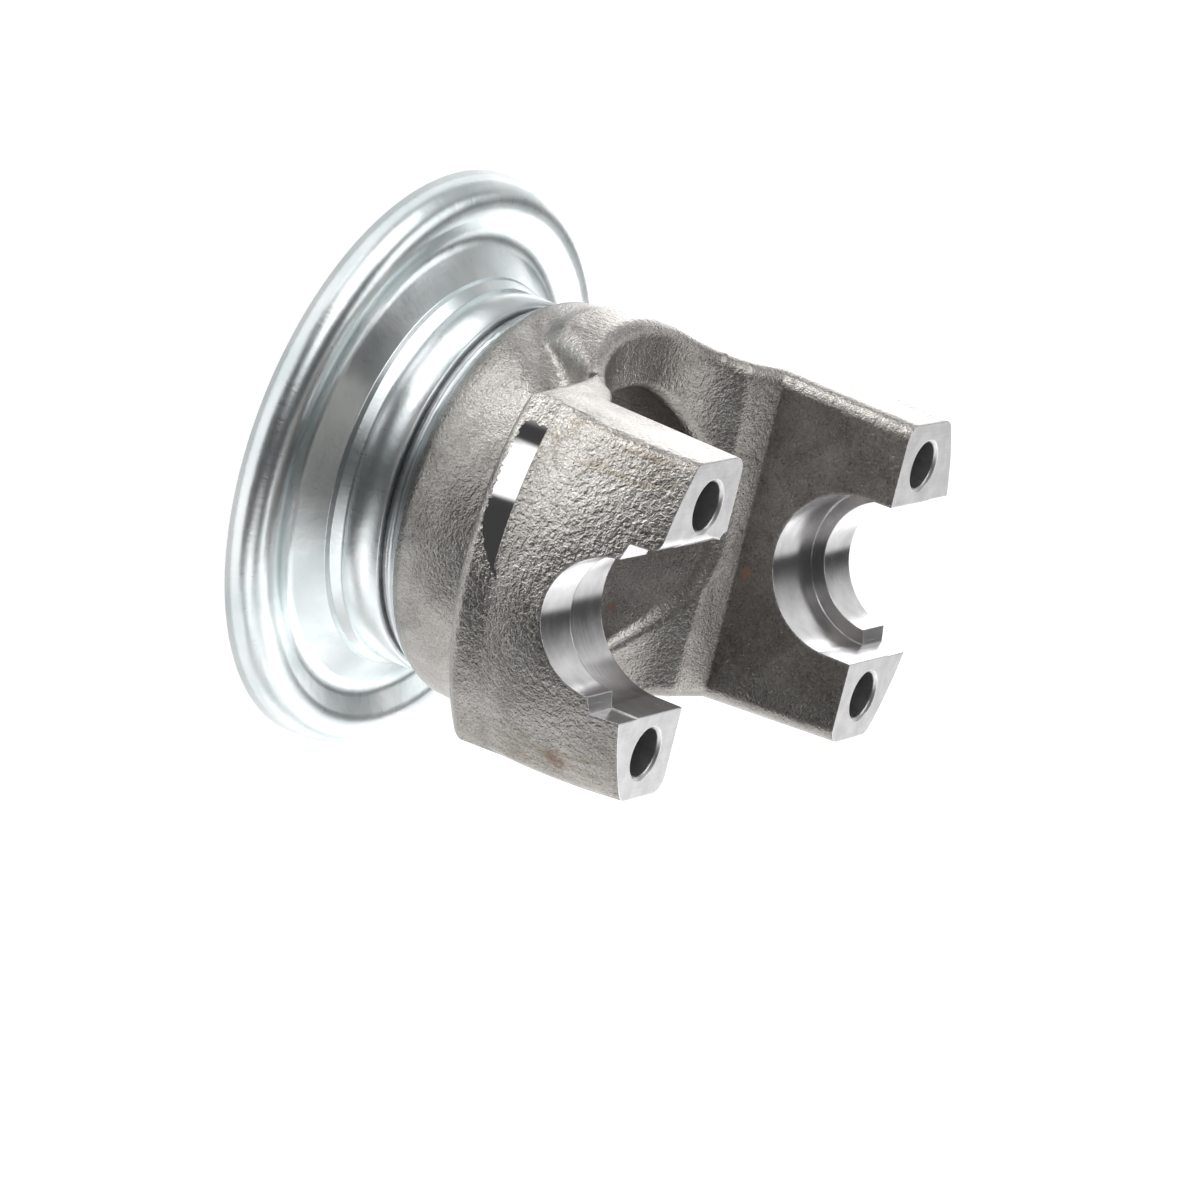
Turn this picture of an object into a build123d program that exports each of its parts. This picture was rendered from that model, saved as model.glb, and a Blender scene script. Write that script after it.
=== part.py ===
from build123d import *
import math
import os

# Pinion end yoke for half-round bearing caps, with a pressed dust deflector.
# Frame: z = 0 is the rear end face of the hub, +Z runs forward to the ears,
# the cross trunnion lies along Y.

# Trunnion seats
CAP_R = 15.1             # radius of the bearing cap and of its half-round seat
SHOULDER_Y = 46.05       # half of the distance between the cap retaining shoulders
LIP_R = 12.4             # inner radius of the retaining shoulder
LIP_END = 0.9            # how far the shoulder stops below the trunnion line
FLAT_RELIEF = 0.2        # extra depth of the flats outboard of the shoulder
TRUNNION_H = 91.0        # trunnion line above the rear face
LUG_ABOVE = 5.3          # lug faces above the trunnion line

# Ears
EAR_IN = 31.0            # inner pad of each ear from the middle plane
EAR_HALF = 30.5          # half width of an ear at the lug face
EAR_HEEL_HALF = 31.6     # half width of an ear at the outside of its rear end
EAR_ROOT_HALF = 33.2     # half width of an ear at its inner root
EAR_R = 55.2             # forged outer radius at the lug face
EAR_BELLY = 1.2          # the ear swells by this much between its ends
EAR_TAPER = 1.0          # and is smaller by this much at its rear end
FORGE_SHIFT = 1.1        # forging sits this far off the turning axis, toward -X
SHOULDER_H = 59.8        # rear edge of the ears
SHOULDER_DROP = 2.8      # the rear shoulder slopes back by this much to the barrel
TURNED_DEPTH = 0.9       # hub turning tool clips the ears this deep
TURNED_L = 6.8           # length of that cut
EAR_CORNER = 3.0         # forged corner radius along the ears
HEEL_ROUND = 3.5         # forged round at the outer rear edge of the ears
HEEL_EDGE = 3.5          # forged round along the sides of the rear shoulder
RIM_ROUND = 3.0          # forged round along the edges of the throat
HEAD_Y = 60.0            # the head is drawn this far out before it is rounded
HEAD_BLEND = 2.5         # softness where the bridge meets the ears

# Fastening holes in the lugs
BOLT_Y = 40.15
BOLT_X = 22.35
BOLT_R = 4.45
BOLT_DEPTH = 24.0
BOLT_CHAMFER = 0.5

# Throat between the ears
THROAT_H = 56.0
THROAT_R = 24.0
PAD_END_H = 69.0
RELIEF_Y = 25.0
RELIEF_H = 65.5

# Hub
BARREL_R = 37.6
BARREL_FRONT_R = 38.4
BARREL_H = 37.8          # start of the as-forged barrel
LAND_R = 39.2            # raised land between the ears, on both sides
LAND_FRONT = 22.6
LAND_REAR = 14.0
LAND_REAR_H = 41.5
SEAT_STEP = 5.4          # turned seat of the deflector stands this far above the journal
SEAT_H = 22.0
JOURNAL_R = 28.6         # seal journal
NUT_R = 26.6             # nut counterbore
NUT_SEAT_H = 41.0
BORE_R = 18.2            # plain pilot at the rear mouth
PILOT_DEPTH = 9.0
SPLINE_MINOR_R = 15.6
SPLINE_MAJOR_R = 16.8
SPLINE_TEETH = 29

# Dust deflector
SHEET = 1.7
PRESS_GAP = 0.0          # nominal gap on the pressed seat
COLLAR_TOP = 32.2
COLLAR_FOOT_H = 23.4
CREASE_R = 43.3
CREASE_H = 17.3
SHIELD_W = 11.4          # from the crease to the rim
SHIELD_FRONT_H = 20.2
SHIELD_RIM_H = 13.2

LUG_H = TRUNNION_H + LUG_ABOVE
EAR_BELLY_R = EAR_R + EAR_BELLY
EAR_BELLY_H = (SHOULDER_H + TURNED_L + LUG_H) / 2
EAR_HEEL_R = EAR_R - EAR_TAPER
SHOULDER_FOOT_H = SHOULDER_H - SHOULDER_DROP
TURNED_R = EAR_R - TURNED_DEPTH
TURNED_H = SHOULDER_H + TURNED_L
SEAT_R = JOURNAL_R + SEAT_STEP
SHIELD_R = CREASE_R + SHIELD_W
SPAN = 2.5 * EAR_R       # long enough to cut right through


def revolved(points):
    """Solid of revolution about Z from (radius, height) points."""
    outline = Polyline(*[(r, 0, h) for r, h in points], close=True)
    return revolve(Face(Wire(outline.edges())), Axis.Z)


def barrel():
    return revolved([
        (0, 0), (JOURNAL_R - 1.5, 0), (JOURNAL_R, 1.5), (JOURNAL_R, SEAT_H - 3),
        (JOURNAL_R + 1.2, SEAT_H), (SEAT_R - 0.8, SEAT_H), (SEAT_R, SEAT_H + 0.8),
        (SEAT_R, COLLAR_TOP), (BARREL_R - 0.2, BARREL_H), (BARREL_R + 0.2, BARREL_H + 1.0),
        (BARREL_FRONT_R, BARREL_H + 9), (BARREL_FRONT_R, SHOULDER_H + 6), (0, SHOULDER_H + 6)])


def land():
    """Raised land on the barrel between the ears, narrowing to the rear."""
    plan = Polyline((-LAND_FRONT, SHOULDER_FOOT_H + 1), (-LAND_REAR, LAND_REAR_H),
                    (LAND_REAR, LAND_REAR_H), (LAND_FRONT, SHOULDER_FOOT_H + 1), close=True)
    block = extrude(Plane.YZ * Face(Wire(plan.edges())), amount=SPAN / 2, both=True)
    full = LAND_R + 0.8
    crown = revolved([(0, LAND_REAR_H - 1), (BARREL_R - 0.6, LAND_REAR_H - 1), (full, LAND_REAR_H + 6),
                      (full, SHOULDER_FOOT_H + 1), (0, SHOULDER_FOOT_H + 1)])
    return block & crown


def head_half(y, height):
    """Half width of the forged head at distance y from the middle plane."""
    rise = (LUG_H - height) / (LUG_H - LAND_REAR_H)
    inner = EAR_HALF + (EAR_ROOT_HALF - EAR_HALF) * rise
    outer = EAR_HALF + (EAR_HEEL_HALF - EAR_HALF) * rise
    flat = inner + (outer - inner) * max(0, abs(y) - EAR_IN) / (HEAD_Y - EAR_IN)
    crown = math.sqrt(max(LAND_R ** 2 - y * y, 100))
    return (flat + crown + math.hypot(flat - crown, HEAD_BLEND)) / 2


def head_section(height):
    steps = [HEAD_Y * i / 12 for i in range(-12, 13)]
    right = Spline(*[(head_half(y, height), y) for y in steps])
    left = Spline(*[(-head_half(y, height), -y) for y in steps])
    sides = [right, Line(right @ 1, left @ 0), left, Line(left @ 1, right @ 0)]
    return Plane.XY.offset(height) * Face(Wire([side.edge() for side in sides]))


def head():
    """Both ears and the bridge between them, before the outside is rounded."""
    return loft([head_section(LAND_REAR_H), head_section(LUG_H)], ruled=True)


def ear_round():
    """Round outside of both ears with the sloping rear shoulder."""
    foot = Polyline((0, SHOULDER_FOOT_H - 3), (BARREL_R - 2, SHOULDER_FOOT_H - 3),
                    (BARREL_FRONT_R, SHOULDER_FOOT_H), (EAR_HEEL_R, SHOULDER_H),
                    (EAR_HEEL_R + 0.1, TURNED_H + 1))
    belly = ThreePointArc((EAR_HEEL_R + 0.1, TURNED_H + 1), (EAR_BELLY_R, EAR_BELLY_H), (EAR_R, LUG_H))
    top = Polyline((EAR_R, LUG_H), (0, LUG_H), (0, SHOULDER_FOOT_H - 3))
    outline = Wire([*foot.edges(), belly.edge(), *top.edges()])
    heel = outline.vertices().sort_by_distance((EAR_HEEL_R, SHOULDER_H, 0))[0]
    outline = outline.fillet_2d(HEEL_ROUND, [heel])
    return Pos(-FORGE_SHIFT, 0, 0) * revolve(Plane.XZ * Face(outline), Axis.Z)


def throat():
    """Open throat between the ears, one outline swept along X."""
    turn = math.acos(1 - (RELIEF_H - THROAT_H) / THROAT_R)
    flat = RELIEF_Y - THROAT_R * math.sin(turn)
    mid = (flat + THROAT_R * math.sin(turn / 2), THROAT_H + THROAT_R * (1 - math.cos(turn / 2)))
    top = LUG_H + 5
    half = [Line((0, THROAT_H), (flat, THROAT_H)),
            ThreePointArc((flat, THROAT_H), mid, (RELIEF_Y, RELIEF_H)),
            Polyline((RELIEF_Y, RELIEF_H), (EAR_IN, PAD_END_H), (EAR_IN, top), (0, top), (0, THROAT_H))]
    edges = [e for piece in half for e in piece.edges()]
    outline = Face(Wire(edges))
    both = outline + mirror(outline, Plane.YZ)
    return extrude(Plane.YZ * both, amount=SPAN / 2, both=True)


def cap_seats():
    """Half-round seats, retaining shoulders and flats, cut along Y."""
    along_y = Rot(90, 0, 0)
    seat = Pos(0, 0, TRUNNION_H) * along_y * Cylinder(CAP_R, 2 * SHOULDER_Y)
    lip = Pos(0, 0, TRUNNION_H) * along_y * Cylinder(LIP_R, SPAN)
    rise = LUG_ABOVE + LIP_END + 1
    open_seat = Pos(0, 0, TRUNNION_H + rise / 2) * Box(2 * CAP_R, 2 * SHOULDER_Y, rise)
    outer = Box(2 * (CAP_R + FLAT_RELIEF), SPAN, rise) - Box(2 * (CAP_R + 1), 2 * SHOULDER_Y, rise)
    outer = Pos(0, 0, TRUNNION_H - LIP_END + rise / 2) * outer
    return seat + lip + open_seat + outer


def lug_hole():
    drill = Pos(0, 0, LUG_H) * Cylinder(BOLT_R, BOLT_DEPTH, align=(Align.CENTER, Align.CENTER, Align.MAX))
    point = Pos(0, 0, LUG_H - BOLT_DEPTH - 1.3) * Cone(0.2, BOLT_R, 2.6)
    mouth = Pos(0, 0, LUG_H - BOLT_CHAMFER / 2) * Cone(BOLT_R, BOLT_R + BOLT_CHAMFER, BOLT_CHAMFER)
    return drill + point + mouth


def splined_bore():
    tooth_w = math.pi * SPLINE_MINOR_R / SPLINE_TEETH
    space = Polyline((SPLINE_MINOR_R - 0.5, -tooth_w * 0.62), (SPLINE_MAJOR_R, -tooth_w * 0.32),
                     (SPLINE_MAJOR_R, tooth_w * 0.32), (SPLINE_MINOR_R - 0.5, tooth_w * 0.62), close=True)
    space = Face(Wire(space.edges()))
    ring = Circle(SPLINE_MINOR_R) + [Rot(0, 0, 360 * i / SPLINE_TEETH) * space for i in range(SPLINE_TEETH)]
    spline = extrude(Pos(0, 0, PILOT_DEPTH - 1) * ring, NUT_SEAT_H + 2)
    pilot = revolved([(0, -1), (BORE_R + 1.0, -1), (BORE_R + 1.0, 0), (BORE_R, 1.0), (BORE_R, PILOT_DEPTH),
                      (SPLINE_MINOR_R, PILOT_DEPTH + 1.5), (0, PILOT_DEPTH + 1.5)])
    nut = revolved([(0, NUT_SEAT_H), (NUT_R - 1.0, NUT_SEAT_H), (NUT_R, NUT_SEAT_H + 1.0), (NUT_R, LUG_H),
                    (0, LUG_H)])
    return spline, pilot, nut


def on_throat(p):
    """True where a point lies on the throat outline."""
    y, h = abs(p.Y), p.Z
    turn = math.acos(1 - (RELIEF_H - THROAT_H) / THROAT_R)
    flat = RELIEF_Y - THROAT_R * math.sin(turn)
    if y <= flat:
        return abs(h - THROAT_H) < 0.05
    if h <= RELIEF_H:
        return abs(math.hypot(y - flat, h - THROAT_H - THROAT_R) - THROAT_R) < 0.05
    if h <= PAD_END_H:
        return abs((y - RELIEF_Y) * (PAD_END_H - RELIEF_H) - (h - RELIEF_H) * (EAR_IN - RELIEF_Y)) < 0.3
    return abs(y - EAR_IN) < 0.05


def heel_rounds():
    """Cutters for the forged rounds along the rear edges of the ears."""
    start, end = LAND_FRONT + 0.6, HEAD_Y
    reach = math.sqrt(EAR_HEEL_R ** 2 - EAR_HEEL_HALF ** 2) - LAND_FRONT
    slope = math.atan((SHOULDER_H - SHOULDER_FOOT_H) / reach)
    corner = Box(2 * HEEL_EDGE, end - start, 2 * HEEL_EDGE)
    corner -= Pos(-HEEL_EDGE, 0, HEEL_EDGE) * Rot(90, 0, 0) * Cylinder(HEEL_EDGE, SPAN)
    half = (EAR_ROOT_HALF + 2 * EAR_HEEL_HALF) / 3 - 0.1
    height = SHOULDER_FOOT_H + (end - LAND_FRONT) / 2 * math.tan(slope)
    placed = Pos(half, (start + end) / 2, height) * Rot(math.degrees(slope), 0, 0) * corner
    pair = placed + mirror(placed, Plane.XZ)
    return pair + mirror(pair, Plane.YZ)


def end_yoke():
    forging = barrel() + ((head() & (ear_round() + land())) - heel_rounds()) - throat()
    outside = EAR_HALF - 4.5
    rim = [e for e in forging.edges()
           if all(on_throat(p) and abs(p.X) > outside and p.Z < LUG_H for p in (e @ 0.1, e @ 0.5, e @ 0.9))]
    corners = [e for e in forging.edges() if e.length > 0.7 * (LUG_H - TURNED_H) and e.center().Z > TURNED_H
               and abs(e.center().Y) > EAR_IN + 5 and abs(e.center().X) > EAR_HALF - 2.5]
    forging = fillet(rim, RIM_ROUND)
    corners = [e for e in forging.edges() if any((e.center() - c.center()).length < 0.3 for c in corners)]
    forging = fillet(corners, EAR_CORNER)
    turned = revolved([(TURNED_R, SHOULDER_H - 3), (70, SHOULDER_H - 3), (70, TURNED_H + 1),
                       (TURNED_R + 2, TURNED_H + 1), (TURNED_R, TURNED_H)])
    yoke = forging - turned - cap_seats()
    for sx in (-1, 1):
        for sy in (-1, 1):
            yoke -= Pos(sx * BOLT_X, sy * BOLT_Y, 0) * lug_hole()
    for tool in splined_bore():
        yoke -= tool
    return yoke


def dust_deflector():
    """Pressed sheet: collar, neck, crease, domed shoulder and turned-down rim."""
    collar = SEAT_R + PRESS_GAP + SHEET
    corners = [(collar, COLLAR_TOP), (collar, COLLAR_FOOT_H), (CREASE_R, CREASE_H),
               (CREASE_R + 4.6, SHIELD_FRONT_H), (SHIELD_R - 0.5, SHIELD_FRONT_H), (SHIELD_R, SHIELD_RIM_H)]
    bends = [1.6, 1.2, 4.0, 3.2]
    path = Wire(Polyline(*corners).edges())
    sheet = path.offset_2d(SHEET, kind=Kind.INTERSECTION, side=Side.RIGHT, closed=True)
    for (r, h), bend in zip(corners[1:-1], bends):
        vertex = sheet.vertices().sort_by_distance((r, h, 0))[0]
        sheet = sheet.fillet_2d(bend, [vertex])
    return revolve(Plane.XZ * Face(sheet), Axis.Z)


def named(part, label):
    solid = part.solids().sort_by(SortBy.VOLUME)[-1]
    assert len(part.solids()) == 1, (label, len(part.solids()))
    solid.label = label
    return solid


os.makedirs("parts", exist_ok=True)
for label, part in (("end_yoke", end_yoke()), ("dust_deflector", dust_deflector())):
    solid = named(part, label)
    export_step(solid, "parts/" + label + ".step")
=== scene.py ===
import math

import bmesh
import bpy
from bpy.props import FloatProperty, IntProperty, PointerProperty, StringProperty
from mathutils import Matrix, Vector


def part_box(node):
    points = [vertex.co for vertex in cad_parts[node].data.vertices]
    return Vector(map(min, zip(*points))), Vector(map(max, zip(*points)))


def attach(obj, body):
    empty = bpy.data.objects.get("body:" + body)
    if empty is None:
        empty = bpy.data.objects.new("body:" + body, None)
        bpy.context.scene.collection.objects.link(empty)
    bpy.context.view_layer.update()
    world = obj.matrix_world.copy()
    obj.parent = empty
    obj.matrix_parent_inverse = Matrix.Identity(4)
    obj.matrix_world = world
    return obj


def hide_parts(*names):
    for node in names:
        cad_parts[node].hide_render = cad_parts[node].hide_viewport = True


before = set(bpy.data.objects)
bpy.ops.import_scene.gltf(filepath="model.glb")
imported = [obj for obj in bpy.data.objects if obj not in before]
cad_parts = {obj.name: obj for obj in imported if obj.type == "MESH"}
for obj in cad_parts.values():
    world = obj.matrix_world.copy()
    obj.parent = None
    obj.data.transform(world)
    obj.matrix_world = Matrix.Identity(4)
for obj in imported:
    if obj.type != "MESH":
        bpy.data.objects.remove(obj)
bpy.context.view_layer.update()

bl_info = {
    "name": "Pinion end yoke",
    "version": (1, 0, 0),
    "blender": (4, 5, 0),
    "location": "View3D > Sidebar > Yoke",
    "description": "Dresses a forged pinion end yoke and its dust deflector",
    "category": "Object",
}

MM = 0.001
YOKE = "end_yoke"
DEFLECTOR = "dust_deflector"

# Places of the yoke that its finishes follow, in millimetres of the frame
TRUNNION_H = 91.0
LUG_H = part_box(YOKE)[1].z / MM
EAR_INNER_Y = 30.9
CAP_R = 15.1
SHOULDER_Y = 46.05
LIP_R = 12.4
FLAT_RELIEF = 0.2
LIP_END = 0.9
BOLT_X = 22.35
BOLT_Y = 40.15
BOLT_R = 4.45
BOLT_FLOOR_H = 60.0
HUB_TURNED_H = 33.0
NUT_R = 26.6
NUT_SEAT_H = 41.0
SPLINE_R = 16.8

# Forms of the forging that are finer than its solid, in millimetres
LEDGE_SLOPE = 0.28
LUG_ROUND = 2.0
NUT_ROUND = 2.2
GROOVE_START = (-35.8, -13.0, 41.8)
GROOVE_END = (-30.9, -23.2, 55.2)
GROOVE_DEPTH = 3.4
GROOVE_SIDES = (4.2, 2.4)

# The strip of the near ear that the lathe reached: its limits along x, outwards, upwards and along y.
# Its lower edge is level up to STRIP_FOOT and curves upwards beyond it.
STRIP_X = (-27.2, 4.5)
STRIP_R = (50.0, 54.33)
STRIP_H = (55.0, 67.6)
STRIP_Y = (-60.0, -20.0)
STRIP_FOOT = (-12.0, 61.8)
STRIP_RISE = 0.048
# The height on the hub at which the lathe ran out
RUN_OUT_H = 36.8

# Where the die marks run on the ears' outer corners: limits along x, outwards and upwards
MARKS_X = (24.0, 30.6)
MARKS_R = (53.0, 60.0)
MARKS_H = (66.0, 99.0)

# Widths of the patterns in the surfaces, in millimetres
RAGGED_MM = 0.909
MARK_MM = 1.235
MARK_STRETCH = 18.0
BLOT_MM = 1.25
CUT_CLOUD_MM = 4.0
MILL_STRETCH = 0.06
STREAK_MM = 0.4545
STREAK_R = 45.0
STREAK_STRETCH = 0.12
SHEET_CLOUD_MM = 14.29
WAVE_MM = 7.143
SCUFF_MM = 0.7143

# Rust: place, size and strength of each spot
RUST_SPOTS = (
    ((26.9, -50.0, 84.3), 2.3, 0.55),
    ((6.1, 31.0, 71.1), 1.3, 0.7),
    ((18.2, 19.4, 51.9), 1.0, 0.7),
)

# The photograph's camera, fitted to the part
CAMERA_AT = Vector((-234.30, -823.55, 491.40)) * MM
CAMERA_RIGHT = Vector((-0.23332, 0.50539, 0.83075))
CAMERA_UP = Vector((-0.93812, 0.10785, -0.32909))
CAMERA_BACK = Vector((-0.25592, -0.85612, 0.44895))
SENSOR = 36.0
FOCAL = 160.36
STUDIO_CENTRE = Vector((0.0, 0.0, 0.055))

# Soft panels of the light tent round the part. Each has its direction to the right, up and towards
# the camera, the angles in degrees at which it begins and is full, and its radiance.
TENT = {
    "left, upper": ((-0.88, 0.45, 0.16), 21, 7, 3.0),
    "behind, upper right": ((0.60, 0.33, -0.73), 28, 12, 0.7),
    "above, left": ((-0.35, 0.90, 0.25), 24, 10, 2.2),
    "above, behind": ((0.09, 0.73, -0.68), 21, 7, 1.8),
    "above, behind left": ((-0.35, 0.73, -0.59), 21, 7, 1.2),
    "above, right": ((0.56, 0.82, -0.12), 38, 22, 0.4),
    "lower right, behind": ((0.68, -0.61, -0.41), 21, 7, 1.5),
    "behind, right": ((0.46, 0.15, -0.88), 21, 7, 0.9),
    "behind, upper": ((0.15, 0.45, -0.88), 25, 10, 1.5),
    "behind, lower right": ((0.60, -0.45, -0.66), 21, 15, 0.8),
    "backdrop": ((-0.27, -0.15, -0.95), 60, 35, 1.3),
    "lower left": ((-0.70, -0.71, -0.05), 21, 7, 1.4),
    "right": ((1.00, 0.05, -0.07), 21, 7, 1.8),
    "right, lower front": ((0.82, -0.51, 0.23), 27, 11, 0.75),
    "over the camera": ((0.22, 0.29, 0.93), 21, 7, 1.2),
    "lower right": ((0.65, -0.76, -0.01), 38, 22, 0.9),
    "below, front left": ((-0.30, -0.84, 0.45), 21, 7, 1.0),
    "below, front": ((0.00, -0.95, 0.30), 21, 7, 1.1),
    "under the camera": ((-0.09, -0.71, 0.70), 21, 7, 0.7),
    "below, behind": ((-0.07, -0.93, -0.36), 38, 22, 0.65),
}
# The long panel at the left: its limits along each axis of the camera
SIDE_LIMITS = ((CAMERA_UP, 0.28, 0.57), (CAMERA_RIGHT, -0.93, -0.45), (CAMERA_BACK, 0.25, 0.75))
SIDE_EDGE = 0.02
# Softboxes: direction as in the tent, then width and height in metres
SOFTBOX_DISTANCE = 1.2
LEFT_SOFTBOX = ((-0.5, 0.86, 0.07), (0.62, 0.62))
RIGHT_SOFTBOX = ((0.42, 0.74, 0.53), (1.3, 1.1))
# The floor lies a gap in millimetres under the part, and its shadow fades out between two distances
FLOOR_GAP = 0.05
FLOOR_FADE = (60.0, 96.0)
FLOOR_SHADOW = 0.2
FLOOR_GLOW = 1.15


def linear(colour):
    """sRGB hex text to a linear colour with alpha."""
    parts = [int(colour[i:i + 2], 16) / 255 for i in (1, 3, 5)]
    return [c / 12.92 if c <= 0.04045 else ((c + 0.055) / 1.055) ** 2.4 for c in parts] + [1.0]


def add(tree, kind, links, out=0, **settings):
    """Adds a node with its settings, gives inputs their values or sockets, and returns one output."""
    node = tree.nodes.new("ShaderNode" + kind)
    for key, value in settings.items():
        setattr(node, key, value)
    for key, value in links.items():
        if isinstance(value, bpy.types.NodeSocket):
            tree.links.new(value, node.inputs[key])
        else:
            node.inputs[key].default_value = linear(value) if isinstance(value, str) else value
    return node.outputs[out] if node.outputs else node


def new_material(name):
    """An empty material and its node tree."""
    material = bpy.data.materials.new(name)
    material.use_nodes = True
    material.node_tree.nodes.clear()
    return material, material.node_tree


def band(tree, value, low, high, soft):
    """1 between low and high, falling to 0 over the soft distance on each side."""
    rise = add(tree, "MapRange", {"Value": value, "From Min": low - soft, "From Max": low + soft},
               interpolation_type="SMOOTHSTEP")
    fall = add(tree, "MapRange", {"Value": value, "From Min": high + soft, "From Max": high - soft},
               interpolation_type="SMOOTHSTEP")
    return add(tree, "Math", {0: rise, 1: fall}, operation="MULTIPLY")


def millimetres(tree):
    """Object coordinates in millimetres, their three parts, and the distance from the pinion axis."""
    place = add(tree, "TexCoord", {}, "Object")
    place = add(tree, "VectorMath", {0: place, "Scale": 1 / MM}, operation="SCALE")
    parts = add(tree, "SeparateXYZ", {0: place}).node.outputs
    flat = add(tree, "VectorMath", {0: place, 1: (1.0, 1.0, 0.0)}, operation="MULTIPLY")
    return place, parts, add(tree, "VectorMath", {0: flat}, "Value", operation="LENGTH")


def forged_steel(finish):
    """Drop-forged steel, shot-blasted: a dull grey-brown metal with an orange-peel grain.

    The strip that the lathe reached and its run-out on the hub are bright, and reflect sharply.
    """
    material, tree = new_material("shot_blasted_forged_steel")
    place, (x, y, z), radius = millimetres(tree)
    peel = add(tree, "TexNoise", {"Vector": place, "Scale": 1 / finish.peel_mm, "Detail": 2.0,
                                  "Roughness": 0.55, "Distortion": 0.35})
    grit = add(tree, "TexNoise", {"Vector": place, "Scale": 1 / finish.grit_mm, "Detail": 2.0,
                                  "Roughness": 0.6})
    cloud = add(tree, "TexNoise", {"Vector": place, "Scale": 1 / finish.cloud_mm, "Detail": 4.0,
                                   "Roughness": 0.6, "Distortion": 0.6})
    # The edges between two finishes are ragged, and wander by up to 0.8 mm
    ragged = add(tree, "TexNoise", {"Vector": place, "Scale": 1 / RAGGED_MM, "Detail": 2.0})
    ragged = add(tree, "Math", {0: ragged, 1: 1.6, 2: -0.8}, operation="MULTIPLY_ADD")
    # The ears' outside is coarser than the rest, most of all on its upper half
    coarse = add(tree, "MapRange", {"Value": radius, "From Min": 50.0, "From Max": 54.8, "To Min": 0.5,
                                    "To Max": 1.0}, interpolation_type="SMOOTHSTEP")
    upper = add(tree, "MapRange", {"Value": x, "From Min": 8.0, "From Max": -4.0, "To Min": 0.6,
                                   "To Max": 1.0}, interpolation_type="SMOOTHSTEP")
    coarse = add(tree, "Math", {0: coarse, 1: upper}, operation="MULTIPLY")
    peel = add(tree, "Math", {0: peel, 1: coarse}, operation="MULTIPLY")
    height = add(tree, "Math", {0: grit, 1: 0.30, 2: peel}, operation="MULTIPLY_ADD")
    round_edge = add(tree, "Bevel", {"Radius": 0.8 * MM}, samples=4)
    bump = add(tree, "Bump", {"Height": height, "Strength": 1.0, "Distance": finish.grain_mm * MM,
                              "Normal": round_edge})
    tone = add(tree, "Math", {0: cloud, 1: grit}, operation="ADD")
    tone = add(tree, "Math", {0: tone, 1: 0.5}, operation="MULTIPLY")
    tone = add(tree, "MapRange", {"Value": tone, "From Min": 0.34, "From Max": 0.64})
    colour = add(tree, "MixRGB", {"Fac": tone, "Color1": finish.scale_colour, "Color2": finish.steel_colour})
    # Dull beige die marks run up the ears' rounded outer corners
    drag = add(tree, "VectorMath", {0: place, 1: (1.0, 1.0, 1 / MARK_STRETCH)}, operation="MULTIPLY")
    drag = add(tree, "TexNoise", {"Vector": drag, "Scale": 1 / MARK_MM, "Detail": 3.0, "Roughness": 0.65})
    drag = add(tree, "MapRange", {"Value": drag, "From Min": 0.5, "From Max": 0.62, "To Max": 0.55})
    corner = add(tree, "Math", {0: x}, operation="ABSOLUTE")
    corner = add(tree, "Math", {0: corner, 1: ragged}, operation="ADD")
    for reach, limits, soft in ((corner, MARKS_X, 1.2), (radius, MARKS_R, 1.0), (z, MARKS_H, 2.0)):
        drag = add(tree, "Math", {0: drag, 1: band(tree, reach, *limits, soft)}, operation="MULTIPLY")
    colour = add(tree, "MixRGB", {"Fac": drag, "Color1": colour, "Color2": finish.mark_colour})
    rough = add(tree, "Math", {0: grit, 1: 0.16, 2: finish.dullness}, operation="MULTIPLY_ADD")
    forging = add(tree, "BsdfPrincipled",
                  {"Base Color": colour, "Metallic": 1.0, "Roughness": rough, "Normal": bump})
    # A narrow strip of the near ear that the lathe reached, with a ragged edge
    foot = add(tree, "Math", {0: x, 1: STRIP_FOOT[0]}, operation="SUBTRACT")
    foot = add(tree, "Math", {0: foot, 1: 0.0}, operation="MAXIMUM")
    foot = add(tree, "Math", {0: foot, 1: foot}, operation="MULTIPLY")
    foot = add(tree, "Math", {0: foot, 1: STRIP_RISE, 2: STRIP_FOOT[1]}, operation="MULTIPLY_ADD")
    above = add(tree, "Math", {0: z, 1: foot}, operation="SUBTRACT")
    above = add(tree, "Math", {0: above, 1: ragged}, operation="ADD")
    strip = band(tree, above, 0.0, 40.0, 0.06)
    end = add(tree, "Math", {0: x, 1: ragged}, operation="ADD")
    for reach, limits, soft in ((end, STRIP_X, 0.08), (radius, STRIP_R, 0.02), (z, STRIP_H, 0.2),
                                (y, STRIP_Y, 1.0)):
        strip = add(tree, "Math", {0: strip, 1: band(tree, reach, *limits, soft)}, operation="MULTIPLY")
    # The lathe's run-out at the foot of the hub
    journal = add(tree, "Math", {0: ragged, 1: 0.3, 2: z}, operation="MULTIPLY_ADD")
    journal = add(tree, "MapRange", {"Value": journal, "From Min": RUN_OUT_H + 0.1,
                                     "From Max": RUN_OUT_H - 0.1})
    strip = add(tree, "Math", {0: strip, 1: journal}, operation="MAXIMUM")
    lathe = add(tree, "BsdfPrincipled", {"Base Color": finish.cut_colour, "Metallic": 1.0, "Roughness": 0.05})
    shader = add(tree, "MixShader", {0: strip, 1: forging, 2: lathe})
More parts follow.
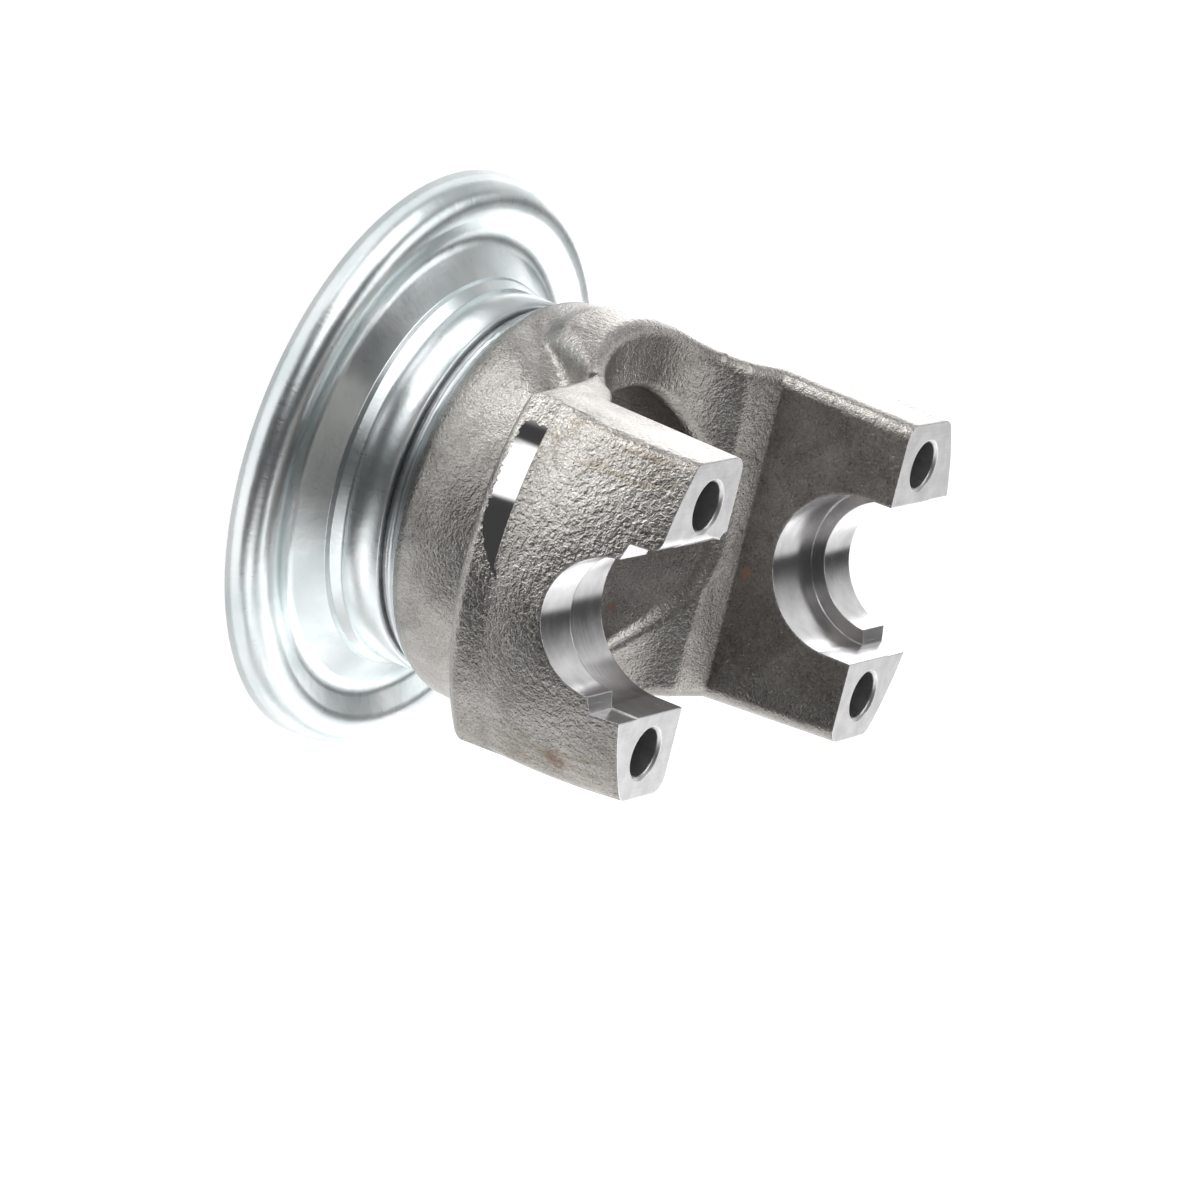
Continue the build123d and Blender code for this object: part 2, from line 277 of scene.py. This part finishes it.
    # Small flecks of rust, and a smudge on the near lower lug
    blot = add(tree, "TexNoise", {"Vector": place, "Scale": 1 / BLOT_MM, "Detail": 4.0, "Roughness": 0.7})
    rust = add(tree, "BsdfPrincipled", {"Base Color": finish.rust_colour, "Metallic": 0.0, "Roughness": 0.75})
    for spot, reach, share in RUST_SPOTS:
        off = add(tree, "VectorMath", {0: place, 1: spot}, "Value", operation="DISTANCE")
        off = add(tree, "Math", {0: blot, 1: 4.0 * reach, 2: off}, operation="MULTIPLY_ADD")
        mask = add(tree, "MapRange", {"Value": off, "From Min": 3.1 * reach, "From Max": 2.6 * reach,
                                      "To Max": share})
        shader = add(tree, "MixShader", {0: mask, 1: shader, 2: rust})
    add(tree, "OutputMaterial", {"Surface": shader})
    return material


def machined_steel(name, finish, along, roughness):
    """Steel cut bright by a tool: silver, with fine feed lines that draw its reflections out across them.

    along says which way the lines run: round the pinion axis, round the trunnion axis, or with the mill.
    """
    material, tree = new_material(name)
    place, (_, y, z), radius = millimetres(tree)
    if along == "pinion":
        cut = add(tree, "CombineXYZ", {"Y": radius, "Z": z})
    elif along == "trunnion":
        across = add(tree, "VectorMath", {0: place, 1: (1.0, 0.0, 1.0)}, operation="MULTIPLY")
        across = add(tree, "VectorMath", {0: across, 1: (0.0, 0.0, TRUNNION_H)}, operation="SUBTRACT")
        across = add(tree, "VectorMath", {0: across}, "Value", operation="LENGTH")
        cut = add(tree, "CombineXYZ", {"X": across, "Y": y})
    else:
        cut = add(tree, "VectorMath", {0: place, 1: (1.0, MILL_STRETCH, 1.0)}, operation="MULTIPLY")
    # The real feed lines are too fine to show, so they are drawn coarser
    lines = add(tree, "TexNoise", {"Vector": cut, "Scale": 1 / finish.feed_mm, "Detail": 2.0,
                                   "Roughness": 0.6})
    cloud = add(tree, "TexNoise", {"Vector": place, "Scale": 1 / CUT_CLOUD_MM, "Detail": 3.0})
    cloud = add(tree, "MapRange", {"Value": cloud, "From Min": 0.3, "From Max": 0.7})
    colour = add(tree, "MixRGB", {"Fac": cloud, "Color1": finish.cut_shade, "Color2": finish.cut_colour})
    rough = add(tree, "Math", {0: lines, 1: 0.10, 2: roughness}, operation="MULTIPLY_ADD")
    round_edge = add(tree, "Bevel", {"Radius": 0.35 * MM}, samples=4)
    bump = add(tree, "Bump", {"Height": lines, "Strength": 0.5, "Distance": 0.02 * MM,
                              "Normal": round_edge})
    shader = add(tree, "BsdfPrincipled",
                 {"Base Color": colour, "Metallic": 1.0, "Roughness": rough, "Normal": bump})
    add(tree, "OutputMaterial", {"Surface": shader})
    return material


def zinc_plate(shape):
    """Deep-drawn sheet steel, bright zinc plated: bluish silver with soft drawing streaks and scuffs."""
    material, tree = new_material("bright_zinc_plated_sheet")
    place, (x, y, z), radius = millimetres(tree)
    # The streaks run with the draw, outwards and upwards, so they are stretched that way
    angle = add(tree, "Math", {0: y, 1: x}, operation="ARCTAN2")
    around = add(tree, "Math", {0: angle, 1: STREAK_R}, operation="MULTIPLY")
    outwards = add(tree, "Math", {0: radius, 1: STREAK_STRETCH}, operation="MULTIPLY")
    upwards = add(tree, "Math", {0: z, 1: STREAK_STRETCH}, operation="MULTIPLY")
    drawn = add(tree, "CombineXYZ", {"X": around, "Y": outwards, "Z": upwards})
    streak = add(tree, "TexNoise", {"Vector": drawn, "Scale": 1 / STREAK_MM, "Detail": 4.0,
                                    "Roughness": 0.6})
    cloud = add(tree, "TexNoise", {"Vector": place, "Scale": 1 / SHEET_CLOUD_MM, "Detail": 3.0,
                                   "Distortion": 0.5})
    wave = add(tree, "TexNoise", {"Vector": place, "Scale": 1 / WAVE_MM, "Detail": 2.0, "Roughness": 0.4})
    fine = add(tree, "TexNoise", {"Vector": place, "Scale": 1 / SCUFF_MM, "Detail": 2.0})
    cloud = add(tree, "MapRange", {"Value": cloud, "From Min": 0.3, "From Max": 0.7})
    colour = add(tree, "MixRGB", {"Fac": cloud, "Color1": shape.zinc_shade, "Color2": shape.zinc_colour})
    rough = add(tree, "Math", {0: streak, 1: 0.14, 2: 0.23}, operation="MULTIPLY_ADD")
    # The shoulder rubs on its neighbours in the bin, so its scuffs are deeper
    rubbed = add(tree, "MapRange", {"Value": radius, "From Min": 50.0, "From Max": 53.5, "To Min": 0.02,
                                    "To Max": 0.10})
    height = add(tree, "Math", {0: streak, 1: rubbed}, operation="MULTIPLY")
    height = add(tree, "Math", {0: wave, 1: 0.50, 2: height}, operation="MULTIPLY_ADD")
    height = add(tree, "Math", {0: fine, 1: 0.06, 2: height}, operation="MULTIPLY_ADD")
    bump = add(tree, "Bump", {"Height": height, "Strength": 1.0, "Distance": 0.3 * MM})
    shader = add(tree, "BsdfPrincipled",
                 {"Base Color": colour, "Metallic": 1.0, "Roughness": rough, "Normal": bump})
    add(tree, "OutputMaterial", {"Surface": shader})
    return material


def cut_surface(point, normal):
    """Which tool finished a face of the yoke: its centre in millimetres and its normal say.

    A mesh runs a little inside or outside a round wall, so each wall is met within a small distance.
    """
    x, y, z = abs(point.x), abs(point.y), point.z
    from_trunnion = math.hypot(x, z - TRUNNION_H)
    from_pinion = math.hypot(x, y)
    from_bolt = math.hypot(x - BOLT_X, y - BOLT_Y)
    on_seat = min(abs(from_trunnion - CAP_R), abs(from_trunnion - LIP_R)) < 0.2
    beside_lip = z > TRUNNION_H - LIP_END - 0.1 and x < CAP_R + FLAT_RELIEF + 0.1
    on_hub = z < HUB_TURNED_H and from_pinion > SPLINE_R + 1
    on_nut_seat = from_pinion < NUT_R - 0.2 and z < NUT_SEAT_H + 0.5
    if from_bolt < BOLT_R + 0.6 and abs(normal.z) < 0.95 and z > BOLT_FLOOR_H:
        return "drilled"
    if z > LUG_H - 0.05 or (y > EAR_INNER_Y and beside_lip):
        return "milled"
    if abs(y - SHOULDER_Y) < 0.03 and from_trunnion < CAP_R + 0.1:
        return "bored"
    if abs(normal.y) < 0.2 and y > EAR_INNER_Y and on_seat:
        return "bored"
    return "turned" if on_hub or on_nut_seat else "forged"


def middle(edge):
    """The middle of an edge."""
    return (edge.verts[0].co + edge.verts[1].co) / 2


def press(work, start, end, depth, sides):
    """Presses a groove along a line, deeper towards its end. sides are the widths of its two slopes."""
    start, end = Vector(start) * MM, Vector(end) * MM
    line = end - start
    gentle, steep = sides
    reach = 2.2 * gentle

    def foot(point):
        along = min(max((point - start).dot(line) / line.length_squared, 0.0), 1.0)
        return along, point - start.lerp(end, along)

    # The mesh is cut finer step by step, so that the groove has vertices to bend
    for size in (6.0, 3.0, 1.5, 0.8):
        cut = [edge for edge in work.edges if edge.calc_length() > size * MM
               and foot(middle(edge))[1].length / MM < reach + size]
        bmesh.ops.subdivide_edges(work, edges=cut, cuts=1)
        bmesh.ops.triangulate(work, faces=[face for face in work.faces if len(face.verts) > 3])
    work.normal_update()
    near = [vert for vert in work.verts if foot(vert.co)[1].length / MM < reach]
    outward = sum((vert.normal for vert in near), Vector()).normalized()
    across = line.cross(outward).normalized()
    pressed = []
    for vert in near:
        along, away = foot(vert.co)
        side = away.dot(across) / MM
        beyond = (away - across * away.dot(across)).length / MM
        share = (side / (gentle if side > 0 else steep)) ** 2 + (beyond / gentle) ** 2
        vert.co -= outward * depth * MM * (0.45 + 0.55 * along) * math.exp(-share)
        if share < 1.8:
            pressed.append(vert)
    for _ in range(10):
        bmesh.ops.smooth_vert(work, verts=pressed, factor=0.5, use_axis_x=True, use_axis_y=True,
                              use_axis_z=True)


def soften(work, radius, pick):
    """Rounds the sharp edges that pick chooses, by a radius in millimetres."""
    chosen = [edge for edge in work.edges
              if len(edge.link_faces) == 2 and edge.calc_face_angle() > math.radians(25)
              and pick(edge)]
    bmesh.ops.bevel(work, geom=chosen, affect="EDGES", offset=radius * MM, offset_type="OFFSET", segments=5,
                    profile=0.5, material=-1, clamp_overlap=False)


def slope_ledges(work):
    """Makes the ledges at the ends of the lips slope up to the lugs."""
    for vert in work.verts:
        x, _, z = vert.co / MM
        on_ledge = LIP_R - 0.1 < abs(x) < CAP_R + FLAT_RELIEF + 0.05
        if on_ledge and abs(z - TRUNNION_H + LIP_END) < 0.05:
            vert.co.z += LEDGE_SLOPE * (abs(x) - LIP_R + 0.1) * MM


def on_near_upper_lug(edge):
    """Whether an edge is the lower one of the near upper lug's face."""
    x, y, z = middle(edge) / MM
    return abs(z - LUG_H) < 0.05 and abs(x + CAP_R + FLAT_RELIEF) < 0.35 and y < -32


def on_nut_recess(edge):
    """Whether an edge is on the lip of the nut's recess, and not a corner down its wall."""
    x, y, z = middle(edge) / MM
    level = abs(edge.verts[0].co.z - edge.verts[1].co.z) < 3 * MM
    return level and abs(math.hypot(x, y) - NUT_R) < 0.12 and NUT_SEAT_H + 4 < z < 70


def shade(mesh, angle):
    """Smooth shading broken at edges sharper than the angle, in degrees."""
    mesh.polygons.foreach_set("use_smooth", [True] * len(mesh.polygons))
    mesh.set_sharp_from_angle(angle=math.radians(angle))


class YokeFinish(bpy.types.PropertyGroup):
    peel_mm: FloatProperty(
        name="Orange peel", description="Width of the forged grain, in mm", default=1.05, min=0.2)
    grain_mm: FloatProperty(
        name="Grain depth", description="Height that the bump stands for, in mm", default=0.38)
    dullness: FloatProperty(
        name="Dullness", description="Roughness of the forged skin", default=0.22)
    grit_mm: FloatProperty(
        name="Shot marks", description="Width of a shot mark, in mm", default=0.4, min=0.1)
    cloud_mm: FloatProperty(
        name="Clouds", description="Width of the clouds of scale, in mm", default=9.0, min=1.0)
    feed_mm: FloatProperty(
        name="Tool feed", description="Spacing of the tool's lines, in mm", default=0.45, min=0.05)
    steel_colour: StringProperty(name="Forged steel", description="sRGB hex", default="#BAB7B3")
    scale_colour: StringProperty(name="Dark scale", description="sRGB hex", default="#827E7A")
    mark_colour: StringProperty(name="Die marks", description="sRGB hex", default="#857A69")
    rust_colour: StringProperty(name="Rust", description="sRGB hex", default="#8C6654")
    cut_colour: StringProperty(name="Cut steel", description="sRGB hex", default="#E4E3E4")
    cut_shade: StringProperty(name="Cut steel, shade", description="sRGB hex", default="#CFCDCF")


class DeflectorShape(bpy.types.PropertyGroup):
    sheet: FloatProperty(
        name="Sheet", description="Thickness", default=1.7 * MM, unit="LENGTH")
    collar_r: FloatProperty(
        name="Collar", description="Outer radius of the collar", default=35.7 * MM, unit="LENGTH")
    collar_foot: FloatProperty(
        name="Collar foot", description="Height of its foot", default=23.4 * MM, unit="LENGTH")
    crease_r: FloatProperty(
        name="Crease", description="Radius of the crease", default=43.3 * MM, unit="LENGTH")
    crease_h: FloatProperty(
        name="Crease height", description="Height of the crease", default=17.3 * MM, unit="LENGTH")
    front_h: FloatProperty(
        name="Front", description="Height of the flat front", default=19.9 * MM, unit="LENGTH")
    rim_h: FloatProperty(
        name="Rim", description="Height of the rim's edge", default=13.2 * MM, unit="LENGTH")
    steps: IntProperty(name="Steps", description="Steps round the axis", default=240, min=48)
    zinc_colour: StringProperty(name="Zinc", description="sRGB hex", default="#ECF0F1")
    zinc_shade: StringProperty(name="Zinc, shade", description="sRGB hex", default="#D3DCDD")


class StudioSetup(bpy.types.PropertyGroup):
    key: FloatProperty(
        name="Key softbox", description="Radiance", default=3.4, min=0)
    fill: FloatProperty(
        name="Fill softbox", description="Radiance", default=1.7, min=0)
    room: FloatProperty(
        name="Dark of the room", description="Radiance between the panels", default=0.06, min=0)
    side: FloatProperty(
        name="Side panel", description="Radiance of the long panel at the left", default=1.7, min=0)
    floor_size: FloatProperty(
        name="Floor", description="Radius of the round floor", default=0.10, unit="LENGTH")


class YOKE_OT_forging(bpy.types.Operator):
    """Forged yoke with its cut faces"""
    bl_idname = "yoke.forging"
    bl_label = "Forged yoke"

    def execute(self, context):
        finish = context.scene.yoke_finish
        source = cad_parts[YOKE]
        mesh = source.data.copy()
        mesh.name = "forged_yoke"
        mesh.materials.clear()
        work = bmesh.new()
        work.from_mesh(mesh)
        bmesh.ops.remove_doubles(work, verts=work.verts, dist=0.002 * MM)
        finishes = {
            "forged": forged_steel(finish),
            "milled": machined_steel("face_milled_steel", finish, "mill", 0.20),
            "bored": machined_steel("bored_steel", finish, "trunnion", 0.12),
            "turned": machined_steel("turned_steel", finish, "pinion", 0.08),
            "drilled": machined_steel("drilled_steel", finish, "pinion", 0.26),
        }
        order = list(finishes)
        for face in work.faces:
            cut = cut_surface(face.calc_center_median() / MM, face.normal)
            face.material_index = order.index(cut)
        slope_ledges(work)
        soften(work, LUG_ROUND, on_near_upper_lug)
        soften(work, NUT_ROUND, on_nut_recess)
        press(work, GROOVE_START, GROOVE_END, GROOVE_DEPTH, GROOVE_SIDES)
        work.to_mesh(mesh)
        work.free()
        for material in finishes.values():
            mesh.materials.append(material)
        if mesh.has_custom_normals:
            mesh.attributes.remove(mesh.attributes["custom_normal"])
        shade(mesh, 28)
        piece = bpy.data.objects.new("forged_yoke", mesh)
        context.scene.collection.objects.link(piece)
        weighted = piece.modifiers.new("even_normals", "WEIGHTED_NORMAL")
        weighted.keep_sharp = True
        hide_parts(YOKE)
        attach(piece, "root")
        return {"FINISHED"}


class YOKE_OT_deflector(bpy.types.Operator):
    """Dust deflector, drawn as a bent outline and spun"""
    bl_idname = "yoke.deflector"
    bl_label = "Dust deflector"

    def execute(self, context):
        shape = context.scene.yoke_deflector
        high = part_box(DEFLECTOR)[1]
        rim_r = high.x
        step_r = shape.collar_r + 1.25 * MM
        step_h = shape.collar_foot - 0.3 * MM
        front_r = shape.crease_r + 5.4 * MM
        # From the collar's mouth to the rim's edge: radius, height and the bend's radius at each corner
        outline = (
            (shape.collar_r, high.z, 0.0),
            (shape.collar_r, shape.collar_foot + 1.4 * MM, 1.2 * MM),
            (step_r, step_h, 0.7 * MM),
            (step_r + 0.2 * MM, step_h - 1.0 * MM, 0.25 * MM),
            (shape.crease_r, shape.crease_h, 3.5 * MM),
            (front_r, shape.front_h, 4.0 * MM),
            (rim_r - 0.5 * MM, shape.front_h, 4.0 * MM),
            (rim_r, shape.rim_h, 0.0),
        )
        work = bmesh.new()
        verts = [work.verts.new((r, 0.0, h)) for r, h, _ in outline]
        for inner, outer in zip(verts, verts[1:]):
            work.edges.new((inner, outer))
        for vert, (_, _, bend) in list(zip(verts, outline))[1:-1]:
            before, after = [(edge.other_vert(vert).co - vert.co).normalized() for edge in vert.link_edges]
            reach = bend / math.tan(before.angle(after) / 2)
            bmesh.ops.bevel(work, geom=[vert], affect="VERTICES", offset=reach, offset_type="OFFSET",
                            segments=6, profile=0.5, material=-1)
        bmesh.ops.spin(work, geom=work.verts[:] + work.edges[:], cent=(0, 0, 0), axis=(0, 0, 1),
                       angle=math.tau, steps=shape.steps, use_merge=True)
        bmesh.ops.remove_doubles(work, verts=work.verts, dist=0.01 * MM)
        bmesh.ops.recalc_face_normals(work, faces=work.faces)
        if sum(face.normal.z * face.calc_area() for face in work.faces) < 0:
            bmesh.ops.reverse_faces(work, faces=work.faces)
        mesh = bpy.data.meshes.new("pressed_deflector")
        work.to_mesh(mesh)
        work.free()
        mesh.materials.append(zinc_plate(shape))
        shade(mesh, 40)
        piece = bpy.data.objects.new("pressed_deflector", mesh)
        context.scene.collection.objects.link(piece)
        wall = piece.modifiers.new("sheet", "SOLIDIFY")
        wall.thickness = shape.sheet
        wall.offset = -1.0
        wall.use_even_offset = True
        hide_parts(DEFLECTOR)
        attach(piece, "root")
        return {"FINISHED"}


def studio_axis(right, up, back):
    """A direction given to the right, upwards and towards the camera, as the photograph shows it."""
    return (CAMERA_RIGHT * right + CAMERA_UP * up + CAMERA_BACK * back).normalized()


def softbox(name, place, size, radiance):
    """Soft rectangular light that faces the part, at the place that studio_axis reads."""
    axis = studio_axis(*place)
    lamp = bpy.data.lights.new(name, "AREA")
    lamp.shape = "RECTANGLE"
    lamp.size, lamp.size_y = size
    lamp.energy = radiance * math.pi * size[0] * size[1]
    light = bpy.data.objects.new(name, lamp)
    light.location = STUDIO_CENTRE + axis * SOFTBOX_DISTANCE
    light.rotation_euler = axis.to_track_quat("Z", "Y").to_euler()
    bpy.context.scene.collection.objects.link(light)


def white_floor():
    """Matt white paper: white to the camera and in the metal, but for a share of the part's soft shadow."""
    material, tree = new_material("white_paper_sweep")
    material.cycles.emission_sampling = "NONE"
    paper = add(tree, "BsdfDiffuse", {"Color": "#F2F2F2"})
    glow = add(tree, "Emission", {"Color": "#FFFFFF", "Strength": FLOOR_GLOW})
    path = add(tree, "LightPath", {}).node.outputs
    mirrored = add(tree, "Math", {0: path["Is Glossy Ray"], 1: path["Is Transmission Ray"]},
                   operation="MAXIMUM")
    # The paper's own shading fades out towards its edge
    radius = millimetres(tree)[2]
    plain = add(tree, "MapRange", {"Value": radius, "From Min": FLOOR_FADE[0], "From Max": FLOOR_FADE[1],
                                   "To Min": 1.0 - FLOOR_SHADOW, "To Max": 1.0},
                interpolation_type="SMOOTHSTEP")
    share = add(tree, "Math", {0: path["Is Camera Ray"], 1: plain, 2: mirrored}, operation="MULTIPLY_ADD")
    add(tree, "OutputMaterial", {"Surface": add(tree, "MixShader", {0: share, 1: paper, 2: glow})})
    return material


def studio_world(studio):
    """A white tent: white to the camera, soft white panels with dark gaps between them for the metal."""
    world = bpy.data.worlds.new("studio")
    world.use_nodes = True
    tree = world.node_tree
    tree.nodes.clear()
    direction = add(tree, "TexCoord", {}, "Generated")
    level = studio.room
    for place, outer, inner, radiance in TENT.values():
        facing = add(tree, "VectorMath", {0: direction, 1: studio_axis(*place)}, "Value",
                     operation="DOT_PRODUCT")
        panel = add(tree, "MapRange", {"Value": facing, "From Min": math.cos(math.radians(outer)),
                                       "From Max": math.cos(math.radians(inner)), "To Max": radiance},
                    interpolation_type="SMOOTHSTEP")
        level = add(tree, "Math", {0: panel, 1: level}, operation="ADD")
    # The long panel at the left has hard edges
    side = studio.side
    for axis, low, high in SIDE_LIMITS:
        facing = add(tree, "VectorMath", {0: direction, 1: axis}, "Value", operation="DOT_PRODUCT")
        side = add(tree, "Math", {0: band(tree, facing, low, high, SIDE_EDGE), 1: side}, operation="MULTIPLY")
    level = add(tree, "Math", {0: side, 1: level}, operation="ADD")
    camera = add(tree, "LightPath", {}, "Is Camera Ray")
    strength = add(tree, "Math", {0: level, 1: camera}, operation="MAXIMUM")
    light = add(tree, "Background", {"Color": "#FFFFFF", "Strength": strength})
    add(tree, "OutputWorld", {"Surface": light})
    return world


class YOKE_OT_stage(bpy.types.Operator):
    """Floor, soft lights and the photograph's camera"""
    bl_idname = "yoke.stage"
    bl_label = "Stage"

    def execute(self, context):
        studio = context.scene.yoke_studio
        work = bmesh.new()
        bmesh.ops.create_circle(work, cap_ends=True, segments=96, radius=studio.floor_size)
        bmesh.ops.translate(work, verts=work.verts, vec=(0, 0, -FLOOR_GAP * MM))
        mesh = bpy.data.meshes.new("floor")
        work.to_mesh(mesh)
        work.free()
        mesh.materials.append(white_floor())
        floor = bpy.data.objects.new("floor", mesh)
        context.scene.collection.objects.link(floor)
        softbox("left_softbox", *LEFT_SOFTBOX, studio.key)
        softbox("right_softbox", *RIGHT_SOFTBOX, studio.fill)
        context.scene.world = studio_world(studio)
        camera = bpy.data.cameras.new("photo_camera")
        camera.sensor_width = SENSOR
        camera.lens = FOCAL
        view = bpy.data.objects.new("photo_camera", camera)
        axes = Matrix((CAMERA_RIGHT, CAMERA_UP, CAMERA_BACK)).transposed()
        view.matrix_world = Matrix.Translation(CAMERA_AT) @ axes.to_4x4()
        context.scene.collection.objects.link(view)
        context.scene.camera = view
        context.scene.view_settings.view_transform = "Standard"
        return {"FINISHED"}


class YOKE_PT_panel(bpy.types.Panel):
    bl_label = "Pinion end yoke"
    bl_idname = "YOKE_PT_panel"
    bl_space_type = "VIEW_3D"
    bl_region_type = "UI"
    bl_category = "Yoke"

    def draw(self, context):
        for group, operator in (("yoke_finish", "yoke.forging"), ("yoke_deflector", "yoke.deflector"),
                                ("yoke_studio", "yoke.stage")):
            box = self.layout.box()
            settings = getattr(context.scene, group)
            for name in settings.__annotations__:
                box.prop(settings, name)
            box.operator(operator)


CLASSES = (YokeFinish, DeflectorShape, StudioSetup, YOKE_OT_forging, YOKE_OT_deflector, YOKE_OT_stage,
           YOKE_PT_panel)


def register():
    for entry in CLASSES:
        bpy.utils.register_class(entry)
    bpy.types.Scene.yoke_finish = PointerProperty(type=YokeFinish)
    bpy.types.Scene.yoke_deflector = PointerProperty(type=DeflectorShape)
    bpy.types.Scene.yoke_studio = PointerProperty(type=StudioSetup)


def unregister():
    del bpy.types.Scene.yoke_studio
    del bpy.types.Scene.yoke_deflector
    del bpy.types.Scene.yoke_finish
    for entry in reversed(CLASSES):
        bpy.utils.unregister_class(entry)


def main():
    register()
    bpy.ops.yoke.stage()
    bpy.ops.yoke.forging()
    bpy.ops.yoke.deflector()


if __name__ == "__main__":
    main()
